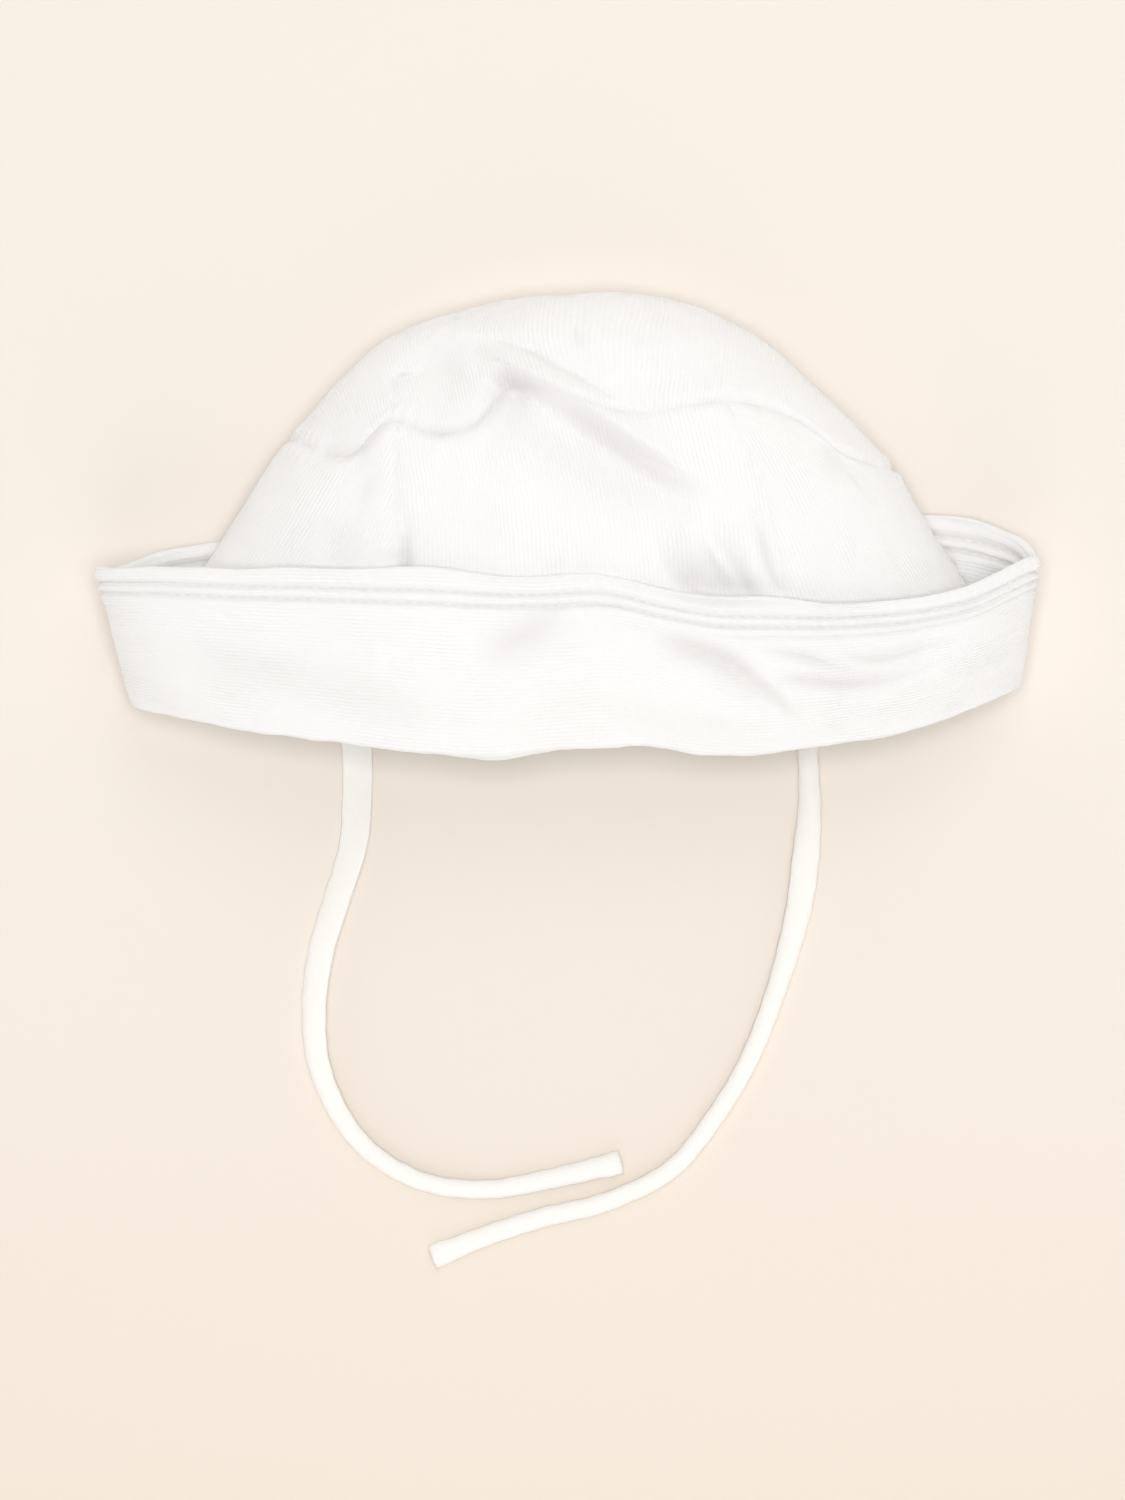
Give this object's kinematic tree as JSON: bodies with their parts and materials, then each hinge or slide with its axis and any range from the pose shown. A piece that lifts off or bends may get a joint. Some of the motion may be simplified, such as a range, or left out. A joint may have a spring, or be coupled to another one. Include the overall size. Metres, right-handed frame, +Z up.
{
  "type": "sailor cap",
  "caption": "Soft baby's sailor cap in white ribbed cotton, lying on its back: a panelled dome crown with a round top, a wide turned-up brim and two flat tapes to tie it under the chin",
  "frame": {"origin": "Centre of the underside of the cap's bounding box, without the two tapes, on the surface it lies on", "axes": "+X along the mouth to the right of the picture, +Y from the mouth to the crown's top, +Z up from the surface through the cap's front"},
  "size_m": [0.2335, 0.2453, 0.0501],
  "materials": {
    "crown_cotton": "fine ribbed white cotton, matt",
    "brim_cotton": "doubled fine ribbed white cotton with two rows of stitching near its edge, matt",
    "tape_cotton": "flat woven white cotton tape, matt"
  },
  "bodies": {
    "root": {"crown_front": "crown_cotton", "crown_left": "crown_cotton", "crown_back": "crown_cotton", "crown_right": "crown_cotton", "crown_top": "crown_cotton", "brim": "brim_cotton", "tie_left": "tape_cotton", "tie_right": "tape_cotton"}
  },
  "joints": []
}
